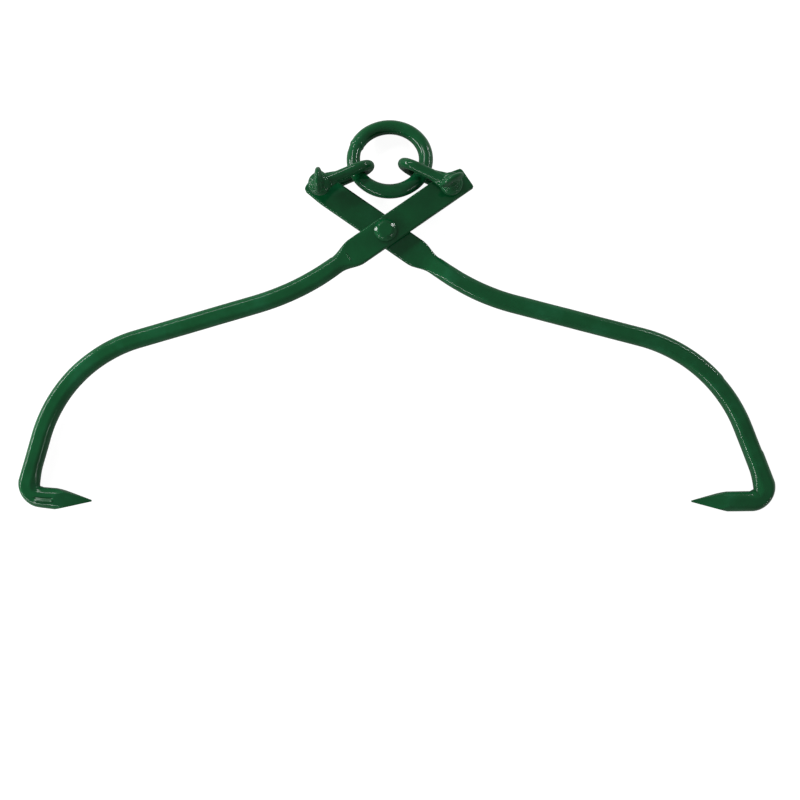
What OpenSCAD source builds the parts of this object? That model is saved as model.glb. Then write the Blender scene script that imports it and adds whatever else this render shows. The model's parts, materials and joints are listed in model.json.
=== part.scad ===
// Log tongs: two forged arms on a rivet, closed by a lifting ring that pulls on two screw pin shackles.
// They lie face up on the ground, spread open, on the hooks, the two pin ends and the ring's far side.
// The arms are drawn in their own plane first, with the rivet's axis at 0,0 and the parting of the
// blades at height 0. lay() then tips that plane the little that the shackles lift it.

/* [Blades] */
// Length of the front arm's flat blade from the rivet to its square end
front_blade_reach = 73.5; // [70:0.1:90]
// Length of the rear arm's flat blade from the rivet to its square end
rear_blade_reach = 69.8; // [68:0.1:90]
// Width of each blade
blade_w = 21.2; // [20:0.1:25]
// Thickness of each blade
blade_t = 7; // [5:0.25:9]
// Radius of the corners at the blade's end
blade_corner_r = 2; // [1:0.5:6]
// Chamfer along the blade's long edges
blade_edge = 0.8; // [0.4:0.1:1.5]
// Angle between each blade and the line across the tongs, spread open
blade_rise = 34.6; // [32:0.2:38]
// Distance from the rivet to the shackle pin
pin_reach = 60; // [56:0.5:62]
// Distance from the rivet to where the blade starts to turn into the round-shouldered bar
neck_start = 27; // [22:1:30]
// Length of the neck between the blade and the bar
neck_len = 18; // [14:1:20]
// Length of the step at the neck's end, where the thickness grows from the blade's to the bar's
step_len = 10; // [6:1:14]

/* [Bars] */
// Width of each bar across its parting line
bar_w = 14.4; // [13:0.1:16]
// Thickness of each bar
bar_t = 13; // [11:0.25:14]
// Width of the flat along the front and back of each bar
bar_flat = 7.6; // [5:0.1:9]
// Height of the flat along each side of the bar
bar_side = 6.4; // [2:0.1:8]

/* [Front arm bends] */
// Straight from the neck to the shoulder bend
front_first = 5; // [2:0.5:12]
// Radius of the shoulder bend
front_shoulder_r = 198; // [120:1:240]
// Turn of the shoulder bend
front_shoulder_turn = 18.3; // [15:0.1:21]
// Straight between the shoulder and the crook
front_middle = 94; // [80:0.5:110]
// Radius of the crook bend
front_crook_r = 107.3; // [90:0.1:120]
// Turn of the crook bend
front_crook_turn = 57.7; // [52:0.1:62]
// Straight from the crook to the hook bend
front_shank = 36.3; // [30:0.1:50]
// Turn of the hook bend
front_hook_turn = 102.7; // [95:0.1:110]

/* [Rear arm bends] */
// Straight from the neck to the shoulder bend
rear_first = 10.4; // [2:0.1:15]
// Radius of the shoulder bend
rear_shoulder_r = 165; // [120:1:240]
// Turn of the shoulder bend
rear_shoulder_turn = 20; // [15:0.1:21]
// Straight between the shoulder and the crook
rear_middle = 100; // [80:0.1:110]
// Radius of the crook bend
rear_crook_r = 113.5; // [90:0.1:120]
// Turn of the crook bend
rear_crook_turn = 54.3; // [52:0.1:62]
// Straight from the crook to the hook bend
rear_shank = 45.8; // [30:0.1:55]
// Turn of the hook bend
rear_hook_turn = 111.4; // [95:0.1:114]

/* [Hooks] */
// Inside radius of the sharp bend that makes each hook
hook_inner_r = 2.3; // [1.5:0.1:6]
// Straight from the hook bend to where the point is ground, front arm
front_spike = 12.4; // [6:0.1:24]
// Straight from the hook bend to where the point is ground, rear arm
rear_spike = 20.2; // [6:0.1:24]
// Width to which the front arm's hook spreads before the ground point
front_spike_w = 16.2; // [14.6:0.1:18]
// Width to which the rear arm's hook spreads before the ground point
rear_spike_w = 15.2; // [14.6:0.1:18]
// Length of the ground point
point_len = 27; // [20:0.5:34]
// Width left at the very tip
tip_w = 1.4; // [1:0.1:2.4]

/* [Rivet] */
// Diameter of the rivet's shank
rivet_d = 12.7; // [10:0.1:14]
// Diameter of the rivet's two heads
rivet_head_d = 17; // [15:0.5:20]
// Height of the front head
rivet_head_h = 4.4; // [3:0.1:6]
// Height of the hammered tail
rivet_tail_h = 3.6; // [2:0.1:5]
// Diameter of the flat on top of each head
rivet_flat_d = 9.6; // [6:0.1:12]

/* [Ring] */
// Inside diameter of the lifting ring
ring_inner_d = 44.4; // [42:0.1:50]
// Diameter of the ring's wire
ring_wire_d = 11; // [9:0.1:11.4]
// How far the ring lies to the right of the rivet
ring_aside = 3; // [0:0.1:4]
// How far the ring's middle lies beyond the two shackle pins
ring_rise = 22.2; // [16:0.1:26]

/* [Shackles] */
// Diameter of the shackle's rod
rod_d = 8; // [7:0.1:9]
// Diameter of the two ears
ear_d = 17; // [15:0.1:20]

/* [Shackle pins] */
// Diameter of the pin's shank
pin_d = 9.5; // [8:0.1:10]
// How far the pin's end stands out of the lower ear
pin_end = 1; // [0.5:0.1:4]
// Diameter of the collar under the tab
collar_d = 14.6; // [12:0.1:17]
// Thickness of the collar
collar_h = 3; // [2:0.1:4]
// Width of the tab
tab_w = 19; // [14:0.1:20]
// Thickness of the tab
tab_t = 5; // [3:0.1:6]
// Diameter of the eye through the tab
tab_eye_d = 4.8; // [3:0.1:6]
// Turn of the tab on the pin by the rear blade
rear_tab_turn = 90; // [0:1:180]
// Turn of the tab on the pin by the front blade
front_tab_turn = 28; // [0:1:180]

/* [Clearances] */
// Gap between the two blades
blade_gap = 0.3; // [0.2:0.05:0.5]
// Gap between a blade and the rivet head beside it
side_gap = 0.25; // [0.15:0.05:0.4]
// Gap between a blade and the shackle ear beside it
ear_gap = 0.5; // [0.3:0.05:0.8]
// Gap all round the rivet in its holes
rivet_fit = 0.1; // [0.05:0.01:0.2]
// Gap all round the pin in the blade's hole
pin_play = 0.4; // [0.2:0.05:0.8]
// Gap all round the pin in the shackle's ears
pin_fit = 0.05; // [0.03:0.01:0.1]
// Gap between the ring and the crown of the rear shackle
crown_gap = 0.6; // [0.5:0.05:0.7]
// Share of its room in a crown that the ring's wire sinks by
wire_sink = 0.87; // [0.6:0.01:0.95]

/* [Hidden] */
$fn = 96;
paint = [0.07, 0.30, 0.16];
paint_light = [0.09, 0.36, 0.20];

// Heading of each bar from the rivet, before blade_rise is added to it
bar_heading = 180;
// Steps in the neck's smooth change from blade to bar
neck_steps = 10;
// Sides to a full turn of the bar's bends and of the ring
bend_sides = 180;
ring_sides = 144;
// Share of the blade's chamfer that the neck's corner cut takes at the blade
neck_chamfer = 0.25;
// Share of a rivet head's height that is its upright rim
rivet_rim = 0.4;
// Height of the tab's middle over the collar, as a share of its radius
tab_rise = 0.8;
// Each straight runs this far into the forging's next stretch, which is this much thicker all round
lap = 0.3;
swell = 0.01;
// Depth to which two solids that make one forging run into each other
sunk = 0.4;
// Amount that a hole's cutter stands out at both ends
over = 1;

blade_low = blade_gap / 2;
blade_top = blade_low + blade_t;
neck_end = neck_start + neck_len;
hook_r = hook_inner_r + bar_w / 2;

// Headings and places along an arm's middle line, seen from its own front: [x, y, heading]
function ahead(p, len) = [p[0] + len * cos(p[2]), p[1] + len * sin(p[2]), p[2]];
function turned(p, r, turn) = let (
    s = sign(turn),
    side = p[2] + s * 90,
    c = [p[0] + r * cos(side), p[1] + r * sin(side)]
) [c[0] - r * cos(side + turn), c[1] - r * sin(side + turn), p[2] + turn];

FIRST = 0;
SHOULDER_R = 1;
SHOULDER_TURN = 2;
MIDDLE = 3;
CROOK_R = 4;
CROOK_TURN = 5;
SHANK = 6;
HOOK_TURN = 7;
SPIKE = 8;
SPIKE_W = 9;
front_bends = [front_first, front_shoulder_r, front_shoulder_turn, front_middle, front_crook_r,
               front_crook_turn, front_shank, front_hook_turn, front_spike, front_spike_w];
rear_bends = [rear_first, rear_shoulder_r, rear_shoulder_turn, rear_middle, rear_crook_r,
              rear_crook_turn, rear_shank, rear_hook_turn, rear_spike, rear_spike_w];

// Start of the hook bend, and the start of the spike, with the blade lying at blade_rise
function hook_start(b) = ahead(
    turned(
        ahead(
            turned(
                ahead([0, 0, bar_heading + blade_rise], neck_end + b[FIRST]),
                b[SHOULDER_R], -b[SHOULDER_TURN]),
            b[MIDDLE]),
        b[CROOK_R], b[CROOK_TURN]),
    b[SHANK]);
function spike_start(b) = turned(hook_start(b), hook_r, b[HOOK_TURN]);
function hook_centre(b) = let (p = hook_start(b)) [p[0] - hook_r * sin(p[2]), p[1] + hook_r * cos(p[2])];
function outer_x(b) = hook_centre(b)[0] - hook_r - bar_w / 2;
// Lowest place of the hook and spike, with the given half widths about their middle line
function lowest_y(b, bend_half, spike_half) =
    min(hook_centre(b)[1] - hook_r - bend_half, ahead(spike_start(b), b[SPIKE])[1] - spike_half);

// The shackles straddle both blades, and the ring hangs between them at the end of its slack
jaw = 2 * (blade_top + ear_gap);
rod_z = (jaw + rod_d) / 2;
ear_out = jaw / 2 + rod_d;
pin_low = ear_out + pin_end;
ring_r = (ring_inner_d + ring_wire_d) / 2;
pin_x = pin_reach * cos(blade_rise);
pin_y = pin_reach * sin(blade_rise);
wire_room = jaw / 2 - ring_wire_d / 2 - crown_gap;
wire_drop = wire_room * wire_sink;
crown_in = sqrt(pow(wire_room, 2) - pow(wire_drop, 2));
crown_x = norm([pin_x + ring_aside, ring_rise]) - ring_r - crown_in;
ring_y = pin_y + ring_rise;
rear_shackle_rise = atan2(ring_rise, pin_x + ring_aside);
front_shackle_rise = atan2(ring_rise, pin_x - ring_aside);

// The tongs' plane tips until the hooks and the pin ends stand on one level
rest_half = bar_flat / 2;
rest_y = min(lowest_y(front_bends, rest_half, rest_half), lowest_y(rear_bends, rest_half, rest_half));
lie = atan2(pin_low - bar_t / 2, pin_y - pin_d / 2 - rest_y);
lift = pin_low * cos(lie) - (pin_y - pin_d / 2) * sin(lie);

// The ring's far side touches the ground, and its near side lies low in the two crowns
cross_y = pin_y + (crown_x + crown_in) * sin(rear_shackle_rise);
cross_z = lift + cross_y * sin(lie) - wire_drop;
ring_lean = asin((cross_z - ring_wire_d / 2) / (ring_r * (1 + sin(rear_shackle_rise))));
ring_z = ring_wire_d / 2 + ring_r * sin(ring_lean);
ring_flat_y = ring_y * cos(lie);

// Centre of the outer box over the ground
far_y = ring_flat_y + ring_r * cos(ring_lean) + ring_wire_d / 2;
near_y = min(lowest_y(front_bends, bar_w / 2, front_spike_w / 2),
             lowest_y(rear_bends, bar_w / 2, rear_spike_w / 2)) * cos(lie);
middle_x = (outer_x(front_bends) - outer_x(rear_bends)) / 2;
middle_y = (far_y + near_y) / 2;

// Lays what is drawn in the tongs' plane on the ground, with the outer box's centre at 0,0
module lay() {
    translate([-middle_x, -middle_y, lift]) rotate([lie, 0, 0]) children();
}

// Eight-sided section: half width w, flat from -f to f, top and bottom heights, side flat from s0 to s1
module section(w, f, top, bottom, s0, s1) {
    polygon([[f, top], [w, s1], [w, s0], [f, bottom], [-f, bottom], [-w, s0], [-w, s1], [-f, top]]);
}

module bar_section(grow = 0) {
    section(bar_w / 2 + grow, (bar_flat + grow) / 2, bar_t / 2 + grow, -bar_t / 2 - grow,
            -(bar_side + grow) / 2, (bar_side + grow) / 2);
}

module blade_section() {
    section(blade_w / 2, blade_w / 2 - blade_edge, blade_top, blade_low,
            blade_low + blade_edge, blade_top - blade_edge);
}

// Draws a section's bar along x
module along(len) {
    rotate([90, 0, 90]) linear_extrude(len) children();
}

module straight(len) {
    translate([-lap, 0, 0]) along(len + 2 * lap) bar_section();
    translate([len, 0, 0]) children();
}

// Bends the bar to its left, or to its right where the turn is negative
module bent(r, turn) {
    mirror([0, turn < 0 ? 1 : 0, 0]) {
        translate([0, r, 0]) rotate([0, 0, -90]) rotate_extrude(angle = abs(turn), $fn = bend_sides)
            translate([r, 0]) bar_section(swell);
    }
    end = turned([0, 0, 0], r, turn);
    translate([end[0], end[1], 0]) rotate([0, 0, turn]) children();
}

function reversed(list) = [for (i = [len(list) - 1 : -1 : 0]) list[i]];
// Share of the neck's change made at t, from 0 at the blade to 1 at the bar
function ease(t) = t * t * (3 - 2 * t);
// The neck's line along one side or face, which changes over the last len of it
function neck_line(from, to, len) = concat(
    len < neck_len ? [[0, from]] : [],
    [for (i = [0 : neck_steps]) let (t = i / neck_steps)
        [neck_len - len + t * len, from + ease(t) * (to - from)]]);

// Cuts a corner off the neck's left side, along the plane that meets the bar's slanted side
module neck_corner_cut(bar_z, side_z, blade_z) {
    a = [neck_len, bar_flat / 2 + swell, bar_z];
    b = [neck_len, bar_w / 2 + swell, side_z];
    c = [0, blade_w / 2 - blade_edge * neck_chamfer, blade_z];
    n = sign(bar_z) * cross(b - a, c - a);
    translate(a) rotate([0, acos(n[2] / norm(n)), atan2(n[1], n[0])])
        translate([-blade_w, -blade_w, 0]) cube(2 * blade_w);
}

// The neck is cut to its outline seen from the front and from the side
module neck() {
    difference() {
        intersection() {
            translate([0, 0, -blade_w]) linear_extrude(2 * blade_w) polygon(concat(
                neck_line(blade_w / 2 + swell, bar_w / 2 + swell, neck_len),
                reversed(neck_line(-blade_w / 2 - swell, -bar_w / 2 - swell, neck_len))));
            rotate([90, 0, 0]) translate([0, 0, -blade_w]) linear_extrude(2 * blade_w) polygon(concat(
                neck_line(blade_top + swell, bar_t / 2 + swell, step_len),
                reversed(neck_line(blade_low - swell, -bar_t / 2 - swell, step_len))));
        }
        for (m = [0, 1]) mirror([0, m, 0]) {
            neck_corner_cut(bar_t / 2 + swell, bar_side / 2, blade_top + swell);
            neck_corner_cut(-bar_t / 2 - swell, -bar_side / 2, blade_low - swell);
        }
    }
}

// Spike from the hook bend, spread to width w and cut to its ground point from the front and the side
module spike(len, w) {
    intersection() {
        translate([-lap, 0, 0]) along(lap + len + point_len)
            section(w / 2, bar_flat / 2, bar_t / 2, -bar_t / 2, -bar_side / 2, bar_side / 2);
        translate([0, 0, -w]) linear_extrude(2 * w) taper(len, bar_w, w);
        rotate([90, 0, 0]) translate([0, 0, -w]) linear_extrude(2 * w) taper(len, bar_t, bar_t);
    }
}

// The spike's outline, from width w at the bend to the full width where the point is ground
module taper(len, w, full) {
    end = len + point_len;
    polygon([[-lap - over, -w / 2 - swell], [0, -w / 2 - swell], [len, -full / 2 - swell], [end, -tip_w / 2],
             [end, tip_w / 2], [len, full / 2 + swell], [0, w / 2 + swell], [-lap - over, w / 2 + swell]]);
}

module blade_outline(reach) {
    r = blade_corner_r;
    translate([-reach + r, -blade_w / 2]) square([reach - r + neck_start + lap, blade_w]);
    translate([-reach, -blade_w / 2 + r]) square([2 * r, blade_w - 2 * r]);
    for (s = [-1, 1]) translate([-reach + r, s * (blade_w / 2 - r)]) circle(r);
}

module blade(reach) {
    difference() {
        intersection() {
            translate([0, 0, blade_low - over]) linear_extrude(blade_t + 2 * over) blade_outline(reach);
            translate([-reach - over, 0, 0]) along(reach + 2 * over + neck_start) blade_section();
        }
        translate([0, 0, blade_low - over]) cylinder(d = rivet_d + 2 * rivet_fit, h = blade_t + 2 * over);
        translate([-pin_reach, 0, blade_low - over])
            cylinder(d = pin_d + 2 * pin_play, h = blade_t + 2 * over);
    }
}

// One arm with its bar along x, and its blade the other way
module tong_arm(reach, b) {
    blade(reach);
    translate([neck_start, 0, 0]) neck();
    translate([neck_end, 0, 0])
        straight(b[FIRST]) bent(b[SHOULDER_R], -b[SHOULDER_TURN])
        straight(b[MIDDLE]) bent(b[CROOK_R], b[CROOK_TURN])
        straight(b[SHANK]) bent(hook_r, b[HOOK_TURN])
        spike(b[SPIKE], b[SPIKE_W]);
}

module front_arm() {
    color(paint) lay() rotate([0, 0, bar_heading + blade_rise]) tong_arm(front_blade_reach, front_bends);
}

// The rear arm is the same forging turned over
module rear_arm() {
    color(paint) lay() rotate([0, 180, 0]) rotate([0, 0, bar_heading + blade_rise])
        tong_arm(rear_blade_reach, rear_bends);
}

// A rivet head standing on height 0
module rivet_head(h) {
    rotate_extrude() polygon([[0, 0], [rivet_head_d / 2, 0], [rivet_head_d / 2, h * rivet_rim],
                              [rivet_flat_d / 2, h], [0, h]]);
}

module pivot_rivet() {
    z = blade_top + side_gap;
    color(paint) lay() {
        translate([0, 0, -z]) cylinder(d = rivet_d, h = 2 * z);
        translate([0, 0, z]) rivet_head(rivet_head_h);
        mirror([0, 0, 1]) translate([0, 0, z]) rivet_head(rivet_tail_h);
    }
}

module lifting_ring() {
    color(paint_light) translate([ring_aside - middle_x, ring_flat_y - middle_y, ring_z])
        rotate([-ring_lean, 0, 0]) rotate_extrude($fn = ring_sides)
            translate([ring_r, 0]) circle(ring_wire_d / 2);
}

// A shackle with its pin along z and its crown towards x
module shackle() {
    difference() {
        union() {
            for (s = [-1, 1]) {
                translate([0, 0, s * rod_z - rod_d / 2]) cylinder(d = ear_d, h = rod_d);
                translate([0, 0, s * rod_z]) rotate([0, 90, 0]) cylinder(d = rod_d, h = crown_x);
            }
            translate([crown_x, 0, 0]) rotate([90, 0, 0]) rotate([0, 0, -90])
                rotate_extrude(angle = 180) translate([rod_z, 0]) circle(rod_d / 2);
        }
        translate([0, 0, -ear_out - over]) cylinder(d = pin_d + 2 * pin_fit, h = 2 * (ear_out + over));
    }
}

module front_shackle() {
    color(paint_light) lay() translate([pin_x, pin_y, 0]) rotate([0, 0, 180 - front_shackle_rise]) shackle();
}

module rear_shackle() {
    color(paint_light) lay() translate([-pin_x, pin_y, 0]) rotate([0, 0, rear_shackle_rise]) shackle();
}

// A screw pin with its tab across x
module shackle_pin() {
    seat = ear_out + pin_fit;
    tab_r = tab_w / 2;
    tab_z = seat + collar_h + tab_r * tab_rise;
    translate([0, 0, -pin_low]) cylinder(d = pin_d, h = pin_low + seat + sunk);
    translate([0, 0, seat]) cylinder(d = collar_d, h = collar_h);
    difference() {
        intersection() {
            translate([0, tab_t / 2, tab_z]) rotate([90, 0, 0]) cylinder(r = tab_r, h = tab_t);
            translate([-tab_r, -tab_t / 2, seat + collar_h / 2]) cube([tab_w, tab_t, 2 * tab_w]);
        }
        translate([0, tab_t, tab_z]) rotate([90, 0, 0]) cylinder(d = tab_eye_d, h = 2 * tab_t);
    }
}

module front_shackle_pin() {
    color(paint_light) lay() translate([pin_x, pin_y, 0]) rotate([0, 0, front_tab_turn]) shackle_pin();
}

module rear_shackle_pin() {
    color(paint_light) lay() translate([-pin_x, pin_y, 0]) rotate([0, 0, rear_tab_turn]) shackle_pin();
}

front_arm();
rear_arm();
pivot_rivet();
lifting_ring();
front_shackle();
rear_shackle();
front_shackle_pin();
rear_shackle_pin();
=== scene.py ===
"""Log tongs: the looks of two forged arms, a rivet, a lifting ring, two shackles and their screw pins.

Sizes are in millimetres in the tongs' own plane, with the rivet's axis at 0, 0 and the parting of the two
blades at height 0. IN_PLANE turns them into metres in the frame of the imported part.
"""

import json
import math

import bmesh
import bpy
from mathutils import Matrix, Vector, noise


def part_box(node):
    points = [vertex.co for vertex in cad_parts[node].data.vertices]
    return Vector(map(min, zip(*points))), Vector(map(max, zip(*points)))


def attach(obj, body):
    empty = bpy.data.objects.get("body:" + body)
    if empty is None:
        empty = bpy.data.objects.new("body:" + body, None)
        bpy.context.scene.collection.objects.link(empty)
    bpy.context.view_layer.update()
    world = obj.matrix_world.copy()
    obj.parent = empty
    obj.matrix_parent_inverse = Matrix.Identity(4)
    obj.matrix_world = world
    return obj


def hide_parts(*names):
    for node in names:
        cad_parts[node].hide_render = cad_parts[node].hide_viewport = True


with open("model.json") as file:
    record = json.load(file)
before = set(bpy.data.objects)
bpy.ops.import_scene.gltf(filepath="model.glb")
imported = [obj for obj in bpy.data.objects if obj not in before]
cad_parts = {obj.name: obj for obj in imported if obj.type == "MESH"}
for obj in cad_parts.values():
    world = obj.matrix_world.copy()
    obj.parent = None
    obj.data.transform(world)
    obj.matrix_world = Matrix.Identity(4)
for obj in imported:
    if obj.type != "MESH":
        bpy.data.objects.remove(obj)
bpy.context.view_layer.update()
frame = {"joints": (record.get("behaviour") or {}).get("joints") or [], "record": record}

MM = 0.001

# The arms' sections, as in the part's source: a bevelled blade between two heights, an eight-sided bar with
# the width of its top face and the height of its side faces, and a ground point
BLADE_W, BLADE_LOW, BLADE_TOP, BLADE_EDGE = 21.2, 0.15, 7.15, 0.8
BAR_W, BAR_T, BAR_FLAT, BAR_SIDE = 14.4, 13.0, 7.6, 6.4
POINT_LEN, TIP_W = 27.0, 1.4
# Half the bar's width on its inner side, and how much more it has on its outer side
BAR_HALF, OUTER_MORE = 6.9, 0.3
# How round the bar's ridges and the blade's edges are
RIDGE_R, EDGE_R = 4.5, 0.9
# How far the trimmed fin stands out on the blade and on the bar, and half its thickness
BLADE_FIN, BAR_FIN, FIN_HALF = 0.12, 0.16, 0.35

# Along an arm from the rivet: the pin's hole, the neck, and where the faces rise from blade to bar
PIN_REACH = 60.0
NECK_START, NECK_LEN = 27.0, 18.0
RISE_START, RISE_END = 35.0, 63.0
# The length at its end over which a blade's edges are worn
WORN_LEN = 18.0
# The radius of the hook's bend, from 2.3 mm inside it to the middle of the bar
HOOK_R = 2.3 + BAR_W / 2
# The blades' slope in the picture, in degrees
BLADE_RISE = 34.6
# Room round the rivet and the pin in the arms' holes, and round the pin in the shackles' eyes
RIVET_ROOM, HOLE_ROOM, EYE_ROOM = 0.1, 0.4, 0.05

# The arms' bends, from the blade's end to the spike: lengths, turns in degrees and the bends' radii. aside is
# how far the blade lies to its outer side. corner_w is the bar's inner half width at the hook, and spike_w is
# the spike's whole width. trimmed says from where to where, past the neck, the bar lost its fin. corners and
# worn are the blade's corner radii and the wear of its edges at the end, inner and outer. thinned is what the
# bar loses outside at the middle of the hook.
FRONT = dict(
    reach=73.5, aside=-0.45, first=5.0, shoulder_r=198.0, shoulder=18.3, middle=94.0, crook_r=107.3,
    crook=57.7, shank=36.3, hook=102.7, spike=12.4, spike_w=16.2, corner_w=8.9, trimmed=[],
    corners=(1.2, 1.6), worn=(0.0, 3.9), thinned=1.1)
REAR = dict(
    reach=69.8, aside=0.0, first=10.4, shoulder_r=165.0, shoulder=20.0, middle=100.0, crook_r=113.5,
    crook=54.3, shank=45.8, hook=111.4, spike=20.2, spike_w=15.2, corner_w=9.3, trimmed=[(234.3, 296.9)],
    corners=(3.0, 2.0), worn=(1.5, 0.0), thinned=1.5)

# The rivet, whose head and tail sit at HEAD_Z, with the hammer blows on them: (direction round, tilt from
# upright, depth)
RIVET_D, HEAD_D, HEAD_H, TAIL_H, FLAT_D, HEAD_Z = 12.7, 17.0, 4.4, 3.6, 9.6, 7.4
HEAD_BLOWS = [(178, 37, 0.27), (203, 45, 0.40), (230, 40, 0.26), (246, 47, 0.36), (270, 52, 0.45),
              (296, 46, 0.40), (317, 37, 0.22), (342, 47, 0.40), (4, 50, 0.35), (31, 34, 0.28),
              (52, 46, 0.40), (80, 51, 0.40), (112, 45, 0.35), (146, 50, 0.45)]
TAIL_BLOWS = [(30, 40, 0.70), (85, 50, 0.90), (130, 38, 0.70), (185, 48, 0.90), (235, 42, 0.70),
              (290, 52, 0.90), (335, 44, 0.80), (0, 9, 0.20), (120, 11, 0.25), (240, 8, 0.20)]

# The ring and its weld: where round the ring it lies, half the bead's width, and where the undercut is
RING_R, WIRE_R = 27.7, 5.5
WELD_AT, BEAD_HALF, BEAD_UNDERCUT_AT = 157.5, 3.2, 3.6

# The shackles: a bent rod between two eyes, the flare from rod to eye, and how far each shackle is swung
ROD_R, ROD_Z, CROWN_X, EAR_R, EAR_IN, EAR_OUT = 4.0, 11.65, 28.4336, 8.5, 7.65, 15.65
FLARE_R, FLARE_LEN = 7.6, 16.0
FRONT_SHACKLE_RISE, REAR_SHACKLE_RISE = 25.5744, 22.9653

# The screw pins: the shank, the height where the collar sits, the thumb tab, and how far each pin is turned
PIN_R, PIN_LOW, SEAT, COLLAR_R, COLLAR_H = 4.75, 16.65, 15.7, 7.3, 3.0
TAB_R, TAB_T, TAB_EYE_R = 9.5, 5.0, 2.4
FRONT_TAB_TURN, REAR_TAB_TURN = 28.0, 90.0

hinges = {joint["name"]: joint for joint in frame["joints"]}


def plane_at(row):
    """The tongs' plane with its origin on that joint or mount, from millimetres to metres."""
    up = Vector(row["axis"]).normalized()
    across = Vector((1, 0, 0))
    turn = Matrix((across, up.cross(across).normalized(), up)).transposed().to_4x4()
    return Matrix.Translation(row["pos_m"]) @ turn @ Matrix.Scale(MM, 4)


IN_PLANE = plane_at(hinges["front_arm_close"])


# Finishes
class Finish:
    """A material's nodes, made and wired with short calls."""

    def __init__(self, name):
        self.material = bpy.data.materials.new(name)
        self.material.use_nodes = True
        self.tree = self.material.node_tree
        self.shader = self.tree.nodes["Principled BSDF"]

    def feed(self, slot, value):
        """Wires a node's output into a slot, or sets the slot's own value."""
        if hasattr(value, "is_output"):
            self.tree.links.new(value, slot)
        else:
            slot.default_value = value

    def node(self, kind, **inputs):
        made = self.tree.nodes.new(kind)
        for key, value in inputs.items():
            self.feed(made.inputs[key.replace("_", " ")], value)
        return made

    def place(self, centre, stretch=(1, 1, 1), turn=(0, 0, 0)):
        """The place on the piece in metres from its centre, drawn out and turned."""
        where = self.tree.nodes.new("ShaderNodeTexCoord")
        shift = self.node("ShaderNodeMapping", Vector=where.outputs["Object"])
        shift.vector_type = "TEXTURE"
        shift.inputs["Location"].default_value = centre
        shift.inputs["Rotation"].default_value = turn
        shift.inputs["Scale"].default_value = stretch
        return shift.outputs["Vector"]

    def mottle(self, place, scale, detail, rough):
        return self.node("ShaderNodeTexNoise", Vector=place, Scale=scale, Detail=detail,
                         Roughness=rough).outputs["Fac"]

    def ramp(self, value, *stops):
        """Runs a value through stops of (position, colour or level)."""
        made = self.node("ShaderNodeValToRGB", Fac=value)
        band = made.color_ramp
        while len(band.elements) < len(stops):
            band.elements.new(0.5)
        for element, (at, colour) in zip(band.elements, stops):
            element.position = at
            element.color = (*colour, 1.0) if hasattr(colour, "__len__") else (colour, colour, colour, 1.0)
        return made.outputs["Color"]

    def blend(self, share, under, over):
        """Lays one colour or level over another by a share."""
        made = self.tree.nodes.new("ShaderNodeMix")
        made.data_type = "RGBA"
        for slot, value in ((0, share), (6, under), (7, over)):
            self.feed(made.inputs[slot], value)
        return made.outputs[2]

    def part_of(self, value, share):
        made = self.tree.nodes.new("ShaderNodeMath")
        made.operation = "MULTIPLY"
        self.feed(made.inputs[0], value)
        self.feed(made.inputs[1], share)
        return made.outputs[0]

    def bump(self, height, strength, distance, under=None):
        made = self.node("ShaderNodeBump", Height=height, Strength=strength, Distance=distance)
        if under is not None:
            self.feed(made.inputs["Normal"], under)
        return made.outputs["Normal"]

    def wear(self, **inputs):
        for key, value in inputs.items():
            self.feed(self.shader.inputs[key.replace("_", " ")], value)


# A darker green for the upright sides, a painted shade
SHADED_SIDE_GREEN = (0.0011, 0.0225, 0.0070)
DEEP_GREEN = (0.0013, 0.0345, 0.0100)
MID_GREEN = (0.0017, 0.0440, 0.0125)
THIN_GREEN = (0.0040, 0.0600, 0.0220)
DULL = (0.70, 0.70, 0.70, 1.0)


def gloss_green(name, node, forged, stretch=(1, 1, 1), turn=(0, 0, 0)):
    """Thick dipped green enamel over forged steel: it pools and thins in patches and carries small runs.
    The upright sides, where dust stays, are duller than the faces, and their green is darker as a painted
    shade."""
    f = Finish(name)
    low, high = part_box(node)
    centre = (low + high) / 2
    here = f.place(centre)
    drawn = f.place(centre, stretch, turn)
    pools = f.mottle(here, 38.0, 4.0, 0.6)
    cloud = f.ramp(pools, (0.30, DEEP_GREEN), (0.52, MID_GREEN), (0.74, THIN_GREEN))
    specks = f.ramp(f.mottle(here, 900.0, 2.0, 0.5), (0.66, 0.0), (0.74, 1.0))
    colour = f.blend(f.part_of(specks, 0.35), cloud, (*THIN_GREEN, 1.0))
    facing = f.tree.nodes.new("ShaderNodeTexCoord")
    parts = f.node("ShaderNodeSeparateXYZ", Vector=facing.outputs["Normal"])
    steep = f.ramp(parts.outputs["Z"], (0.25, 1.0), (0.70, 0.0))
    # Painted shade: the more upright the surface, the darker its green
    colour = f.blend(f.part_of(steep, 0.75), colour, (*SHADED_SIDE_GREEN, 1.0))
    face = f.ramp(f.mottle(here, 120.0, 4.0, 0.6), (0.30, 0.08), (0.70, 0.17))
    rough = f.blend(steep, face, DULL)
    relief = f.bump(f.mottle(drawn, 95.0, 3.0, 0.5), forged, 0.0008)
    relief = f.bump(f.mottle(here, 210.0, 4.0, 0.62), forged * 0.5, 0.0006, relief)
    relief = f.bump(f.mottle(here, 620.0, 2.0, 0.5), forged * 0.25, 0.0002, relief)
    f.wear(Base_Color=colour, Roughness=rough, Normal=relief)
    f.wear(Specular_IOR_Level=0.10, IOR=1.5)
    return f.material


# Shaping
def new_shape():
    return bmesh.new()


def verts_of(made):
    return [g for g in made if isinstance(g, bmesh.types.BMVert)]


def edges_of(made):
    return [g for g in made if isinstance(g, bmesh.types.BMEdge)]


def block_of(name, shape):
    """An object with that shape for its mesh. The shape is used up."""
    mesh = bpy.data.meshes.new(name)
    shape.to_mesh(mesh)
    shape.free()
    block = bpy.data.objects.new(name, mesh)
    bpy.context.scene.collection.objects.link(block)
    return block


def added(shape, other):
    """Puts another shape, which is used up, into a shape."""
    mesh = bpy.data.meshes.new("added")
    other.to_mesh(mesh)
    other.free()
    shape.from_mesh(mesh)
    bpy.data.meshes.remove(mesh)


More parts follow.
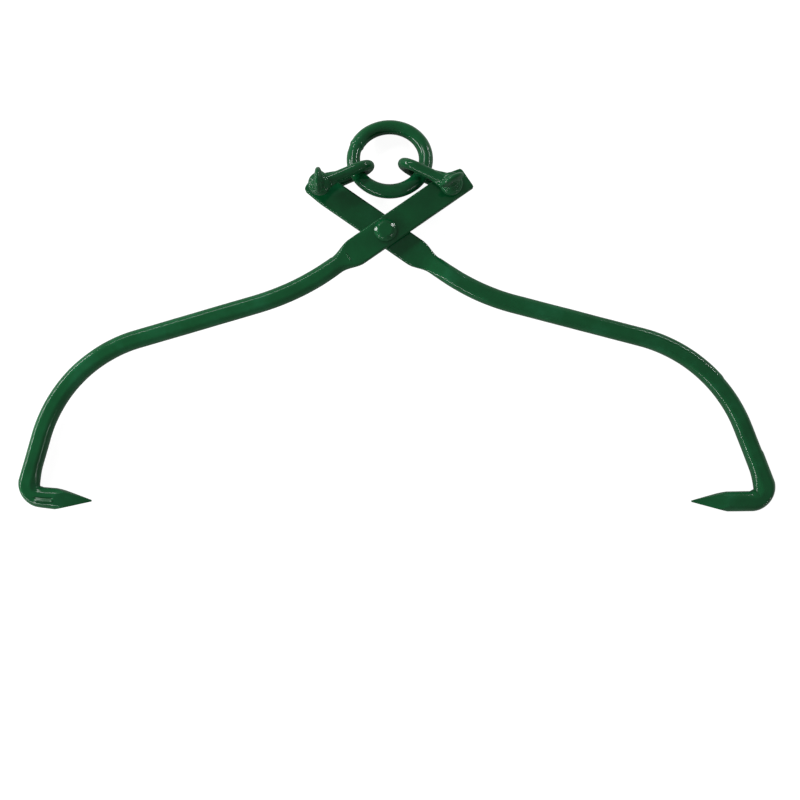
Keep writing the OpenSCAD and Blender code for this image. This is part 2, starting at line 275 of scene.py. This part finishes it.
def finished(name, shape, body, node, finish, keen):
    """Turns a shape in metres into a piece that rides on its body and stands for its node. Edges that bend
    by more than keen degrees stay sharp."""
    bmesh.ops.recalc_face_normals(shape, faces=shape.faces)
    for face in shape.faces:
        face.smooth = True
    for edge in shape.edges:
        edge.smooth = not (len(edge.link_faces) == 2 and edge.calc_face_angle(0.0) > math.radians(keen))
    piece = block_of(name, shape)
    piece.data.materials.append(finish)
    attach(piece, body)
    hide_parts(node)


def worked(shape, *steps):
    """Runs modifiers on a shape and gives the result as a new shape. A step is (kind, settings)."""
    bmesh.ops.recalc_face_normals(shape, faces=shape.faces)
    block = block_of("work", shape)
    for kind, settings in steps:
        tool = block.modifiers.new(kind.lower(), kind)
        for key, value in settings.items():
            setattr(tool, key, value)
    bpy.context.view_layer.update()
    result = new_shape()
    ready = block.evaluated_get(bpy.context.evaluated_depsgraph_get())
    result.from_mesh(ready.to_mesh())
    ready.to_mesh_clear()
    for _, settings in steps:
        if "object" in settings:
            bpy.data.objects.remove(settings["object"])
    bpy.data.objects.remove(block)
    return result


def drill(radius, low, high, place=Matrix.Identity(4)):
    """A step for worked: a plain rod along z that cuts a hole."""
    rod = new_shape()
    bmesh.ops.create_cone(rod, cap_ends=True, segments=72, radius1=radius, radius2=radius,
                          depth=high - low, matrix=place @ Matrix.Translation((0, 0, (low + high) / 2)))
    cutter = block_of("drill", rod)
    cutter.hide_render = True
    return "BOOLEAN", dict(operation="DIFFERENCE", solver="EXACT", object=cutter)


def remesh(voxel, smoothing):
    """Two steps for worked: one skin over all that touches, then its corners smoothed."""
    return (("REMESH", dict(mode="VOXEL", voxel_size=voxel)),
            ("SMOOTH", dict(factor=0.5, iterations=smoothing)))


def turned(shape, profile, steps=72, place=Matrix.Identity(4)):
    """Turns a profile of (radius, height) round z, as on a lathe. It closes at the axis or on itself."""
    verts = [shape.verts.new(place @ Vector((r, 0, z))) for r, z in profile]
    edges = [shape.edges.new(pair) for pair in zip(verts, verts[1:])]
    if profile[0][0] > 0:
        edges.append(shape.edges.new((verts[-1], verts[0])))
    axis = (place.to_3x3() @ Vector((0, 0, 1))).normalized()
    bmesh.ops.spin(shape, geom=verts + edges, cent=place.translation, axis=axis, angle=math.tau, steps=steps,
                   use_merge=True)
    bmesh.ops.remove_doubles(shape, verts=shape.verts, dist=1e-4)


def drawn_on(shape, edges):
    """Extrudes a ring of edges, and gives the new ring's vertices and edges, still in the old place."""
    made = bmesh.ops.extrude_edge_only(shape, edges=edges)["geom"]
    fresh = set(verts_of(made))
    return fresh, [e for e in edges_of(made) if e.verts[0] in fresh and e.verts[1] in fresh]


def closed(shape):
    """Closes a shape's open ends."""
    bmesh.ops.holes_fill(shape, edges=[e for e in shape.edges if len(e.link_faces) == 1], sides=0)


def pushed(shape, move_of):
    """Moves every vertex by what move_of gives for it. All moves are found before the first is made."""
    bmesh.ops.recalc_face_normals(shape, faces=shape.faces)
    shape.normal_update()
    moves = [(v, move_of(v)) for v in shape.verts]
    for v, move in moves:
        v.co += move


def mix(a, b, t):
    return a + (b - a) * t


def ease(t):
    t = min(max(t, 0.0), 1.0)
    return t * t * (3 - 2 * t)


def slope(t):
    """From 0 to 1 at an even slope with soft ends."""
    t = min(max(t, 0.0), 1.0)
    soft = 0.3
    end = min(t, 1 - t)
    gone = end ** 2 / (2 * soft * (1 - soft)) if end < soft else (end - soft / 2) / (1 - soft)
    return gone if t < 0.5 else 1 - gone


def tent(value, half):
    return max(0.0, 1 - abs(value) / half)


def dapple(co):
    """Smooth noise between 0 and 1."""
    return 0.5 + 0.5 * noise.noise(co)


# The arms' sections, seen along the bar: left is the inner side
PER_CORNER = 5
PER_SIDE = (12, 2, 2, 2, 12, 2, 2, 2)


def rounded(corners, radius):
    """Points round an outline with rounded corners, and PER_SIDE points between a corner and the next."""
    count = len(corners)
    arcs = []
    for i, corner in enumerate(corners):
        before, after = corners[i - 1] - corner, corners[(i + 1) % count] - corner
        bend = math.pi - before.angle(after, math.pi)
        reach = min(radius * math.tan(bend / 2), 0.46 * before.length, 0.46 * after.length)
        a = corner + before.normalized() * reach
        b = corner + after.normalized() * reach
        arcs.append([a * (1 - s) ** 2 + corner * 2 * s * (1 - s) + b * s * s
                     for s in (k / (PER_CORNER - 1) for k in range(PER_CORNER))])
    points = []
    for i, arc in enumerate(arcs):
        points += arc
        a, b = arc[-1], arcs[(i + 1) % count][0]
        points += [a.lerp(b, (k + 1) / (PER_SIDE[i] + 1)) for k in range(PER_SIDE[i])]
    return points


def outline(inner, outer, flat_in, flat_out, top, bottom, side_top, side_bottom, soft, fin):
    """An eight-sided forging section. The trimmed fin stands out by that much at the parting line, inside
    the stated half widths."""
    corners = [Vector(p) for p in ((-flat_out, top), (flat_in, top), (inner, side_top), (inner, side_bottom),
                                   (flat_in, bottom), (-flat_out, bottom), (-outer, side_bottom),
                                   (-outer, side_top))]
    points = rounded(corners, soft)
    middle, skin = (side_top + side_bottom) / 2, 0.02
    for p in points:
        at_side = p.x > inner - skin or p.x < -outer + skin
        if fin and at_side and abs(p.y - middle) > FIN_HALF:
            p.x -= math.copysign(fin, p.x)
    return points


def shifted(points, aside):
    """The same section, moved to its outer side."""
    for p in points:
        p.x -= aside
    return points


def blade_outline(end_gap, bends):
    """The blade's section, that far from its end. Its two corners are rounded, and its edges are worn."""
    inner, outer = (BLADE_W / 2 - radius + math.sqrt(max(0.0, radius ** 2 - max(0.0, radius - end_gap) ** 2))
                    - worn * max(0.0, 1 - end_gap / WORN_LEN) ** 1.3
                    for radius, worn in zip(bends["corners"], bends["worn"]))
    chamfer = 0.7
    drop = max(0.0, chamfer - end_gap) * 0.9
    return outline(inner, outer, inner - BLADE_EDGE, outer - BLADE_EDGE, BLADE_TOP - drop, BLADE_LOW + drop,
                   BLADE_TOP - BLADE_EDGE - drop, BLADE_LOW + BLADE_EDGE + drop, EDGE_R, BLADE_FIN)


def face_heights(at):
    """The two faces' heights at a distance from the rivet, and how far they have come to the bar's."""
    rise = slope((at - RISE_START) / (RISE_END - RISE_START))
    return mix(BLADE_TOP, BAR_T / 2, rise), mix(BLADE_LOW, -BAR_T / 2, rise), rise


def neck_outline(at):
    """The section at a distance from the rivet, between the blade and the bar."""
    t = ease((at - NECK_START) / NECK_LEN)
    half = mix(BLADE_W / 2, BAR_HALF, t)
    flat = mix(BLADE_W / 2 - BLADE_EDGE, BAR_FLAT / 2, t)
    top, bottom, rise = face_heights(at)
    side_top = mix(BLADE_TOP - BLADE_EDGE, BAR_SIDE / 2, t)
    side_bottom = min(mix(BLADE_LOW + BLADE_EDGE, -BAR_SIDE / 2, rise), side_top - 0.8)
    return outline(half, half, flat, flat, top, bottom, side_top, side_bottom, mix(EDGE_R, RIDGE_R, t),
                   BLADE_FIN)


def bar_outline(inner, outer, at=RISE_END):
    """The bar's section with those half widths, at a distance from the rivet."""
    top, bottom, rise = face_heights(at)
    side_bottom = mix(BLADE_LOW + BLADE_EDGE, -BAR_SIDE / 2, rise)
    return outline(inner, outer, BAR_FLAT / 2, BAR_FLAT / 2, top, bottom, BAR_SIDE / 2,
                   min(side_bottom, BAR_SIDE / 2 - 0.8), RIDGE_R, BAR_FIN)


def point_outline(share, width):
    """The ground point's section, a share of the way from the full hook to the tip."""
    half_w = mix(width / 2, TIP_W / 2, share)
    half_t = mix(BAR_T / 2, TIP_W / 2, share)
    w, t, f, s = width / 2, BAR_T / 2, BAR_FLAT / 2, BAR_SIDE / 2
    lean = (w - f) / (t - s)
    least = min(0.25, 0.3 * half_t)
    flat = min(f + (t - half_t) * lean, half_w - least)
    side = min(t - (half_w - f) / lean, half_t - least)
    soft = mix(RIDGE_R, 0.3, min(1.0, share * 8))
    return outline(half_w, half_w, flat, flat, half_t, -half_t, side, -side, soft, 0.0)


def stations(bends):
    """Places along an arm with the section there, as (x, y, heading, outline), and the spike's start."""
    made = []
    reach, aside = bends["reach"], bends["aside"]
    near_end = [0.0, 0.15, 0.35, 0.6, 0.9, 1.25, 1.7, 2.2, 2.8, 3.5, 4.2, 5.0]
    steps = 30
    for gap in near_end + [mix(near_end[-1], reach + NECK_START, k / steps) for k in range(1, steps)]:
        made.append((-reach + gap, 0.0, 0.0, shifted(blade_outline(gap, bends), aside)))
    steps = 60
    for k in range(steps + 1):
        at = NECK_START + NECK_LEN * k / steps
        made.append((at, 0.0, 0.0, shifted(neck_outline(at), aside * (1 - ease(k / steps)))))
    x, y, heading, run = NECK_START + NECK_LEN, 0.0, 0.0, 0.0

    def section(inner=BAR_HALF, thinned=0.0):
        """The bar here, narrower outside where its fin was cut off."""
        trimmed = sum(ease((run - a) / 1.2) * ease((b - run) / 1.2) for a, b in bends["trimmed"])
        outer = BAR_HALF + OUTER_MORE - 2 * OUTER_MORE * trimmed - thinned
        return bar_outline(inner, outer, NECK_START + NECK_LEN + run)

    def ahead(length, pitch, section_at=lambda t: section()):
        nonlocal x, y, run
        steps = max(1, round(length / pitch))
        for k in range(steps):
            x += length / steps * math.cos(heading)
            y += length / steps * math.sin(heading)
            run += length / steps
            made.append((x, y, heading, section_at((k + 1) / steps)))

    def round_bend(radius, turn, pitch, section_at=lambda t: section()):
        nonlocal x, y, heading, run
        turn = math.radians(turn)
        steps = max(2, round(abs(turn) * (radius + BAR_W / 2) / pitch))
        side = math.copysign(1.0, turn)
        for k in range(steps):
            cx, cy = x - side * radius * math.sin(heading), y + side * radius * math.cos(heading)
            heading += turn / steps
            x, y = cx + side * radius * math.sin(heading), cy - side * radius * math.cos(heading)
            run += abs(turn) * radius / steps
            made.append((x, y, heading, section_at((k + 1) / steps)))

    corner, spike_half, outer_half = bends["corner_w"], bends["spike_w"] / 2, BAR_HALF + OUTER_MORE
    swell_len, set_len = 14, 2.4
    inner_set, outer_set = mix(corner, spike_half, 0.75), mix(outer_half, spike_half, 0.3)
    ahead(bends["first"], 0.8)
    round_bend(bends["shoulder_r"], -bends["shoulder"], 2.5)
    ahead(bends["middle"], 2.5)
    round_bend(bends["crook_r"], bends["crook"], 1.6)
    ahead(bends["shank"] - swell_len, 1.6)
    ahead(swell_len, 0.8, lambda t: section(mix(BAR_HALF, corner, t ** 1.6)))
    round_bend(HOOK_R, bends["hook"], 0.7,
               lambda t: section(corner, bends["thinned"] * math.sin(math.pi * t)))
    spike_start = (x, y, heading)
    ahead(set_len, 0.4, lambda t: bar_outline(mix(corner, inner_set, ease(t)),
                                              mix(outer_half, spike_half, 0.3 * t)))
    ahead(bends["spike"] - set_len, 0.6, lambda t: bar_outline(mix(inner_set, spike_half, t),
                                                               mix(outer_set, spike_half, t)))
    steps = 40
    for k in range(1, steps + 1):
        share = k / steps
        made.append((x + POINT_LEN * share * math.cos(heading), y + POINT_LEN * share * math.sin(heading),
                     heading, point_outline(share, bends["spike_w"])))
    return made, spike_start


def measured_from(co, x, y, heading):
    """How far a place lies along a line that starts at x, y with that heading, and how far to its left."""
    c, s = math.cos(heading), math.sin(heading)
    return (co.x - x) * c + (co.y - y) * s, -(co.x - x) * s + (co.y - y) * c


def slanted(across, width):
    """A flat slanted strip of that width: proud along one edge, and sunk along the other."""
    return (0.5 - across / width) * min(1.0, (width - across) / 0.35) if 0 < across < width else 0.0


def front_marks(co, spike_start):
    """How far the front arm's face stands out: a small step on the neck, and a slanted strip on the spike."""
    rise = 0.45 * tent(co.x - 34.8, 0.65) * ease((4.4 - abs(co.y - 0.6)) / 1.5)
    along, across = measured_from(co, *spike_start)
    if -4.0 < along < 11.7:
        rise += 1.8 * ease((along + 4.0) / 3.0) * slanted(across + 1.95, 3.2)
    return rise


def rear_marks(co, spike_start):
    """Two creases that run out of the rear arm's hook, where its inside was pinched."""
    rise = 0.0
    x, y, heading = spike_start
    centre_x, centre_y = x - HOOK_R * math.sin(heading), y + HOOK_R * math.cos(heading)
    for turn, bow, deep in ((-118, 0.9, 0.30), (-84, -0.7, 0.22)):
        along, across = measured_from(co, centre_x, centre_y, heading + math.radians(turn))
        across += bow * math.sin(along / 2.2)
        if 0 < along < 8:
            rise -= deep * ease(tent(across, 1.3)) * ease(along / 1.0) * ease((8 - along) / 4)
    return rise


def forged_arm(node, bends, place, seed, marks, face, finish):
    """One forging: a section drawn through all its stations, left a little uneven, and drilled. Its marks
    are on the face that looks up or down, 1 or -1."""
    shape = new_shape()
    line, spike_start = stations(bends)
    ring = []
    for x, y, heading, points in line:
        left = Vector((-math.sin(heading), math.cos(heading), 0))
        if ring:
            fresh, edges = drawn_on(shape, edges)
            ring = [next(e.other_vert(v) for e in v.link_edges if e.other_vert(v) in fresh) for v in ring]
        else:
            ring = list(bmesh.ops.create_circle(shape, segments=len(points), radius=1.0)["verts"])
            edges = list(shape.edges)
        for vert, p in zip(ring, points):
            vert.co = Vector((x, y, 0)) + left * p.x + Vector((0, 0, p.y))
    closed(shape)

    def left_by_the_hammer(v):
        on_bar = ease((v.co.x - NECK_START + 6) / 20) if abs(v.co.y) < 40 else 1.0
        deep = mix(0.05, 0.16, on_bar) * dapple(v.co / 21 + seed)
        deep += mix(0.015, 0.05, on_bar) * dapple(v.co / 6 + seed * 2)
        move = v.normal * -deep
        if v.normal.z * face > 0.25 and v.co.x > 30:
            move.z += face * marks(v.co, spike_start)
        return move

    pushed(shape, left_by_the_hammer)
    shape = worked(shape, drill(RIVET_D / 2 + RIVET_ROOM, -3, 12),
                   drill(PIN_R + HOLE_ROOM, -3, 12, Matrix.Translation((-PIN_REACH, 0, 0))))
    bmesh.ops.transform(shape, matrix=IN_PLANE @ place, verts=shape.verts)
    finished(node + "_forging", shape, node, node, finish, 30.0)


def hammered(shape, blows, keep_z):
    """Flattens a head above keep_z where hammer blows fell."""
    for around, tilt, deep in blows:
        a, t = math.radians(around), math.radians(tilt)
        n = Vector((math.cos(a) * math.sin(t), math.sin(a) * math.sin(t), math.cos(t)))
        reach = max(v.co.dot(n) for v in shape.verts) - deep
        for v in shape.verts:
            out = v.co.dot(n) - reach
            if out > 0 and v.co.z > keep_z:
                v.co -= n * out


def rivet(finish):
    """The shank with its formed front head and its hammered tail."""
    shape = new_shape()
    end_z, skirt_z = HEAD_Z + 1, 0.4
    turned(shape, [(0, -end_z), (RIVET_D / 2, -end_z), (RIVET_D / 2, end_z), (0, end_z)])
    for side, height, blows in ((1, HEAD_H, HEAD_BLOWS), (-1, TAIL_H, TAIL_BLOWS)):
        head = new_shape()
        r, rim, flat = HEAD_D / 2, height * 0.42, FLAT_D / 2
        profile = [(0, 0), (r * 0.5, 0), (r - 0.5, 0), (r - 0.12, 0.15), (r, 0.5)]
        profile += [(r, mix(0.5, rim - 0.4, k / 3)) for k in (1, 2, 3)]
        for s in (k / 14 for k in range(1, 15)):
            profile.append((mix(r, flat, ease(s) * 0.35 + 0.65 * s ** 1.6),
                            mix(rim - 0.4, height, s ** 0.75)))
        profile += [(flat * k / 6, height) for k in (5, 4, 3, 2, 1, 0)]
        turned(head, profile, 96)
        hammered(head, blows, skirt_z)
        for v in head.verts:
            if v.co.z > skirt_z:
                v.co.z -= 0.05 * dapple(v.co / 3.2 + Vector((side * 9.0, 0, 0)))
        place = Matrix.Translation((0, 0, side * HEAD_Z)) @ Matrix.Diagonal((1, 1, side, 1))
        bmesh.ops.transform(head, matrix=place, verts=head.verts)
        added(shape, head)
    bmesh.ops.transform(shape, matrix=IN_PLANE, verts=shape.verts)
    finished("pivot_rivet_hammered", shape, "rivet", "pivot_rivet", finish, 24.0)


def weld_bead(along, co):
    """How far the ring stands out, that far along it from the weld: a rippled bead, undercut beside it."""
    if abs(along) >= 9:
        return 0.0
    ripple = 0.06 * math.sin(along * 3.4 + 1.3 * noise.noise(co / 2.2))
    crown = max(0.0, 1 - (along / BEAD_HALF) ** 2) ** 0.5
    return (0.10 + ripple) * crown - 0.14 * math.exp(-((abs(along) - BEAD_UNDERCUT_AT) / 0.8) ** 2)


def ring(finish):
    """A round bar bent to a ring, with its weld at the upper left and one end a little thinner beside it."""
    shape = new_shape()
    bmesh.ops.create_circle(shape, segments=40, radius=WIRE_R,
                            matrix=Matrix.Translation((RING_R, 0, 0)) @ Matrix.Rotation(math.pi / 2, 4, "X"))
    bmesh.ops.spin(shape, geom=list(shape.verts) + list(shape.edges), cent=(0, 0, 0), axis=(0, 0, 1),
                   angle=math.tau, steps=216, use_merge=True)
    bmesh.ops.remove_doubles(shape, verts=shape.verts, dist=1e-3)

    def left_by_the_weld(v):
        off = (math.atan2(v.co.y, v.co.x) - math.radians(WELD_AT) + math.pi) % math.tau - math.pi
        along = off * RING_R
        deep = 0.10 * dapple(v.co / 9) + 0.03 * dapple(v.co / 3)
        thinner = 0.0
        if -1 < along < 60:
            thinner = 0.55 * ease((along + 0.6) / 1.2) * math.exp(-max(0.0, along - 1) / 14)
        return v.normal * (weld_bead(along, v.co) - deep - thinner)

    pushed(shape, left_by_the_weld)
    eye = next(m for m in frame["record"]["mounts"] if m["name"] == "lifting_eye")
    bmesh.ops.transform(shape, matrix=plane_at(eye), verts=shape.verts)
    finished("lifting_ring_welded", shape, "ring", "lifting_ring", finish, 38.0)


def forged_shackle(name, rise, finish):
    """A drop-forged D shackle: a bent rod that swells into two eyes, with the pin's hole through them."""
    shape = new_shape()
    along_x = Matrix.Rotation(math.pi / 2, 4, "Y")
    bmesh.ops.create_circle(shape, segments=32, radius=ROD_R,
                            matrix=Matrix.Translation((0, 0, ROD_Z)) @ along_x)
    straight, edges = drawn_on(shape, list(shape.edges))
    bmesh.ops.translate(shape, verts=list(straight), vec=(CROWN_X, 0, 0))
    bent = bmesh.ops.spin(shape, geom=edges, cent=(CROWN_X, 0, 0), axis=(0, 1, 0), angle=math.pi, steps=40)
    straight, edges = drawn_on(shape, edges_of(bent["geom_last"]))
    bmesh.ops.translate(shape, verts=list(straight), vec=(-CROWN_X, 0, 0))
    closed(shape)
    for side in (-1, 1):
        eye = new_shape()
        turned(eye, [(0, EAR_IN), (EAR_R - 1.3, EAR_IN), (EAR_R - 0.4, EAR_IN + 0.4), (EAR_R, EAR_IN + 1.5),
                     (EAR_R, EAR_OUT - 2.0), (EAR_R - 0.45, EAR_OUT - 0.75), (EAR_R - 1.5, EAR_OUT),
                     (0, EAR_OUT)])
        bmesh.ops.create_cone(eye, cap_ends=True, segments=40, radius1=FLARE_R, radius2=ROD_R * 0.98,
                              depth=FLARE_LEN, matrix=Matrix.Translation((FLARE_LEN / 2, 0, ROD_Z))
                              @ Matrix.Diagonal((1, 1, 0.5, 1)) @ along_x)
        if side < 0:
            bmesh.ops.transform(eye, matrix=Matrix.Diagonal((1, 1, -1, 1)), verts=eye.verts)
        bmesh.ops.recalc_face_normals(eye, faces=eye.faces)
        added(shape, eye)
    shape = worked(shape, *remesh(0.42, 5), drill(PIN_R + EYE_ROOM, -20, 20))
    place = plane_at(hinges[name + "_swing"]) @ Matrix.Rotation(math.radians(rise), 4, "Z")
    bmesh.ops.transform(shape, matrix=place, verts=shape.verts)
    finished(name + "_forging", shape, name, name, finish, 40.0)


def screw_pin(side, turn, finish):
    """A screw pin: shank, stacked collars, and a thumb tab with its eye."""
    shape = new_shape()
    turned(shape, [(0, SEAT - 1), (COLLAR_R - 0.5, SEAT), (COLLAR_R, SEAT + 0.5), (COLLAR_R, SEAT + 1.2),
                   (COLLAR_R - 0.5, SEAT + 1.7), (COLLAR_R - 1.5, SEAT + 2.0), (COLLAR_R - 1.3, SEAT + 2.6),
                   (COLLAR_R - 1.6, SEAT + 3.4), (COLLAR_R - 2.6, SEAT + 3.8), (COLLAR_R - 2.7, SEAT + 4.6),
                   (COLLAR_R - 3.2, SEAT + 5.6), (0, SEAT + 6.0)])
    tab_z, h = SEAT + COLLAR_H + TAB_R * 0.8, TAB_T / 2
    turned(shape, [(TAB_EYE_R, -h + 0.9), (TAB_EYE_R + 0.9, -h), (TAB_R - 4.0, -h), (TAB_R - 1.6, -h + 0.5),
                   (TAB_R - 0.3, -h + 1.5), (TAB_R, 0), (TAB_R - 0.3, h - 1.5), (TAB_R - 1.6, h - 0.5),
                   (TAB_R - 4.0, h), (TAB_EYE_R + 0.9, h), (TAB_EYE_R, h - 0.9)],
           place=Matrix.Translation((0, 0, tab_z)) @ Matrix.Rotation(math.pi / 2, 4, "X"))
    shape = worked(shape, *remesh(0.28, 6))
    turned(shape, [(0, -PIN_LOW), (PIN_R - 0.9, -PIN_LOW), (PIN_R, -PIN_LOW + 0.8), (PIN_R, SEAT + 0.5),
                   (0, SEAT + 0.5)], 64)
    place = plane_at(hinges[side + "_pin_turn"]) @ Matrix.Rotation(math.radians(turn), 4, "Z")
    bmesh.ops.transform(shape, matrix=place, verts=shape.verts)
    finished(side + "_screw_pin", shape, side + "_pin", side + "_shackle_pin", finish, 40.0)


# The tongs
TO_BLADE_END = Matrix.Rotation(math.radians(180 + BLADE_RISE), 4, "Z")
OVER = Matrix.Rotation(math.pi, 4, "Y")
forged_arm("front_arm", FRONT, TO_BLADE_END, Vector((7.1, 3.3, 0.0)), front_marks, 1,
           gloss_green("front arm enamel", "front_arm", 0.16, (4, 1, 1), (0, 0, 0.6)))
forged_arm("rear_arm", REAR, OVER @ TO_BLADE_END, Vector((21.4, 8.7, 4.0)), rear_marks, -1,
           gloss_green("rear arm enamel", "rear_arm", 0.16, (4, 1, 1), (0, 0, -0.6)))
rivet(gloss_green("rivet enamel", "pivot_rivet", 0.06))
ring(gloss_green("ring enamel", "lifting_ring", 0.14))
forged_shackle("front_shackle", 180 - FRONT_SHACKLE_RISE,
               gloss_green("front shackle enamel", "front_shackle", 0.10))
forged_shackle("rear_shackle", REAR_SHACKLE_RISE,
               gloss_green("rear shackle enamel", "rear_shackle", 0.10))
screw_pin("front", FRONT_TAB_TURN, gloss_green("front pin enamel", "front_shackle_pin", 0.08))
screw_pin("rear", REAR_TAB_TURN, gloss_green("rear pin enamel", "rear_shackle_pin", 0.08))


# Floor, light and camera
def as_background(tree, other, seen):
    """A value that is one number for rays that see the background, also in a reflection, and another number
    for light."""
    path = tree.nodes.new("ShaderNodeLightPath")
    sight = path.outputs["Is Camera Ray"]
    for ray in ("Is Glossy Ray", "Is Transmission Ray"):
        either = tree.nodes.new("ShaderNodeMath")
        either.operation = "MAXIMUM"
        tree.links.new(sight, either.inputs[0])
        tree.links.new(path.outputs[ray], either.inputs[1])
        sight = either.outputs[0]
    level = tree.nodes.new("ShaderNodeMix")
    level.data_type = "FLOAT"
    tree.links.new(sight, level.inputs[0])
    level.inputs[2].default_value = other
    level.inputs[3].default_value = seen
    return level.outputs[0]


def bright_floor():
    """A plain white floor that the camera sees as white, and that keeps some of the shadow."""
    f = Finish("white floor")
    tree = f.tree
    matt = f.node("ShaderNodeBsdfDiffuse", Color=(0.86, 0.86, 0.86, 1))
    glow = f.node("ShaderNodeEmission", Color=(1, 1, 1, 1), Strength=1.15)
    both = tree.nodes.new("ShaderNodeMixShader")
    tree.links.new(as_background(tree, 0.0, 0.82), both.inputs[0])
    tree.links.new(matt.outputs[0], both.inputs[1])
    tree.links.new(glow.outputs[0], both.inputs[2])
    tree.links.new(both.outputs[0], tree.nodes["Material Output"].inputs["Surface"])
    tree.nodes.remove(f.shader)
    return f.material


# How far the lamps are from the tongs, the floor's height and half its width, in metres
LAMPS_AWAY, FLOOR_Z, FLOOR_HALF = 1.5, -0.0002, 6.0


def softbox(name, compass, tilt, length, width, power):
    """A long lamp that faces the tongs, that way round and that far from upright, in degrees."""
    lamp = bpy.data.lights.new(name, "AREA")
    lamp.shape = "RECTANGLE"
    lamp.size, lamp.size_y = length, width
    lamp.energy = power
    a, t = math.radians(compass), math.radians(tilt)
    toward = Vector((math.sin(t) * math.cos(a), math.sin(t) * math.sin(a), math.cos(t)))
    stand = bpy.data.objects.new(name, lamp)
    stand.location = toward * LAMPS_AWAY
    stand.rotation_mode = "QUATERNION"
    stand.rotation_quaternion = toward.to_track_quat("Z", "Y")
    bpy.context.scene.collection.objects.link(stand)


ground = new_shape()
bmesh.ops.create_grid(ground, x_segments=1, y_segments=1, size=FLOOR_HALF)
floor = block_of("floor", ground)
floor.location.z = FLOOR_Z
floor.data.materials.append(bright_floor())

softbox("top left box", 122, 55, 0.80, 0.14, 13.0)
softbox("long left box", 168, 74, 1.30, 0.11, 37.0)
softbox("low left box", 224, 71, 1.30, 0.07, 21.0)
softbox("right box", 42, 72, 0.80, 0.03, 15.0)
softbox("low right box", 325, 64, 0.50, 0.03, 3.5)

world = bpy.data.worlds.new("studio")
bpy.context.scene.world = world
world.use_nodes = True
air = world.node_tree
back = air.nodes["Background"]
back.inputs["Color"].default_value = (1, 1, 1, 1)
air.links.new(as_background(air, 0.14, 1.0), back.inputs["Strength"])

# The camera is over that place in the tongs' plane, at that height, and sees that width of it
VIEW_X, VIEW_Y, VIEW_FAR, VIEW_WIDE = 10.9, -128.0, 850.0, 607.6
eye = bpy.data.cameras.new("camera")
eye.sensor_width = 36.0
eye.lens = eye.sensor_width * VIEW_FAR / VIEW_WIDE
eye.clip_start, eye.clip_end = 0.05, 20.0
camera = bpy.data.objects.new("camera", eye)
camera.matrix_world = IN_PLANE @ Matrix.Translation((VIEW_X, VIEW_Y, VIEW_FAR)) @ Matrix.Scale(1 / MM, 4)
bpy.context.scene.collection.objects.link(camera)
bpy.context.scene.camera = camera
bpy.context.scene.view_settings.view_transform = "Standard"
